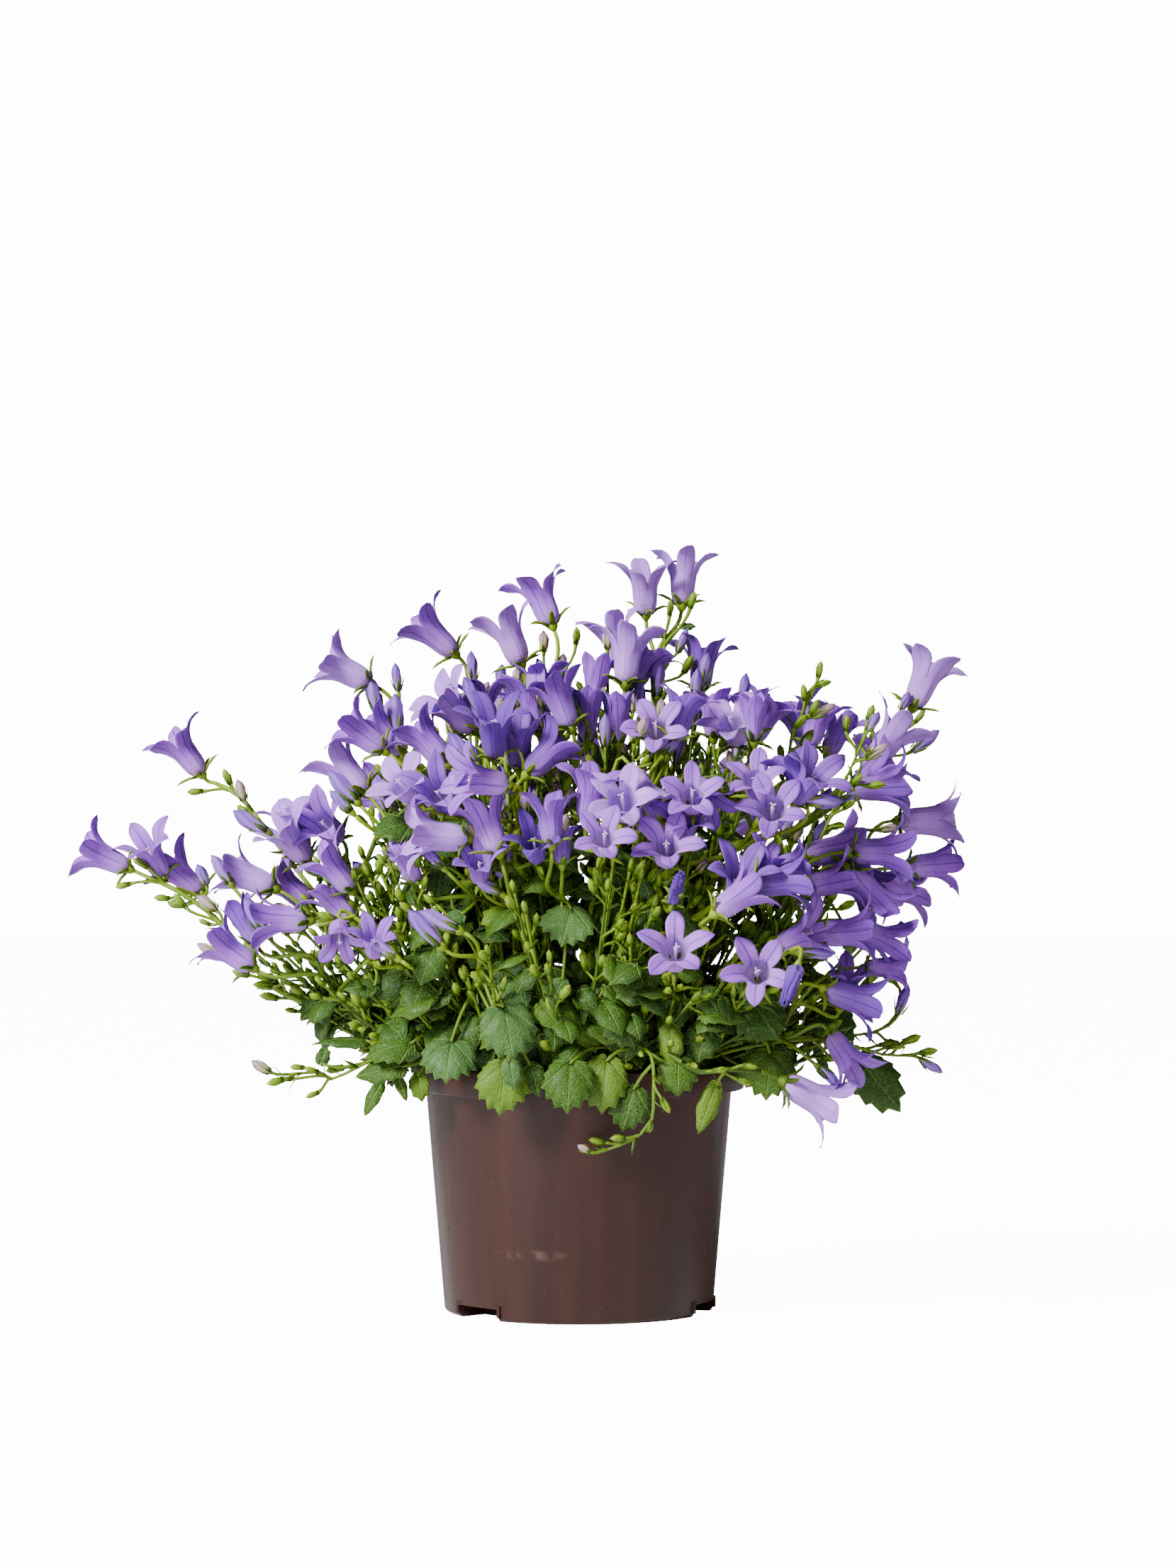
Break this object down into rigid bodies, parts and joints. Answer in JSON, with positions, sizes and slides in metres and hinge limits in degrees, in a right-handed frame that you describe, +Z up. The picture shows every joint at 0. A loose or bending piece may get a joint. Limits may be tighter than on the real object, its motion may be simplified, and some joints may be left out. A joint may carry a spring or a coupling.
{
  "type": "potted dalmatian bellflower",
  "caption": "Tapered round pot of soil with a loose, spreading bush of star-lobed bell flowers, pleated buds, thin branching stems and small toothed heart-shaped leaves.",
  "frame": {"origin": "centre of the pot's underside, on the surface that the pot stands on", "axes": "+Z up, -Y towards the side that the picture shows, +X to the right of that view"},
  "size_m": [0.3312, 0.2298, 0.2782],
  "materials": {
    "pot": "satin",
    "soil": "matte",
    "stems_and_leaves": "matte",
    "petals": "matte"
  },
  "bodies": {
    "root": {"pot": "pot", "soil": "soil", "stems_top_left": "stems_and_leaves", "stems_top_right": "stems_and_leaves", "stems_front": "stems_and_leaves", "stems_front_right": "stems_and_leaves", "stems_right": "stems_and_leaves", "stems_back_right": "stems_and_leaves", "stems_back_left": "stems_and_leaves", "stems_left": "stems_and_leaves", "stems_front_left": "stems_and_leaves", "bells_arm_tip": "petals", "bells_arm_middle": "petals", "bells_arm_upper": "petals", "bells_arm_top": "petals", "bells_arm_lower": "petals", "bells_left_shoulder": "petals", "bells_left_peak": "petals", "bells_left_flank": "petals", "bells_crest_left": "petals", "bells_upper_left": "petals", "bells_left_face": "petals", "bells_left_middle": "petals", "bells_left_heart": "petals", "bells_left_low": "petals", "bells_left_foot": "petals", "bells_left_pleats": "petals", "bells_crest_middle": "petals", "bells_crest_top": "petals", "bells_crest_front": "petals", "bells_upper_middle": "petals", "bells_dark_pair": "petals", "bells_slim_pair": "petals", "bells_upper_star": "petals", "bells_crest_right": "petals", "bells_right_star": "petals", "bells_right_crown": "petals", "bells_right_upper": "petals", "bells_right_peak": "petals", "bells_right_flank": "petals", "bells_right_tip": "petals", "bells_right_face": "petals", "bells_middle_right": "petals", "bells_middle_star": "petals", "bells_middle_left": "petals", "bells_front_star": "petals", "bells_right_middle": "petals", "bells_right_inner": "petals", "bells_right_outer": "petals", "bells_right_lower": "petals", "bells_front_right_star": "petals", "bells_right_foot": "petals", "bells_low_right": "petals", "bells_drooping": "petals", "bells_far_right_face": "petals", "bells_far_dark_pair": "petals", "bells_far_left_face": "petals", "bells_far_right_upper": "petals", "bells_far_left_low": "petals", "bells_far_right_crown": "petals"}
  },
  "joints": []
}
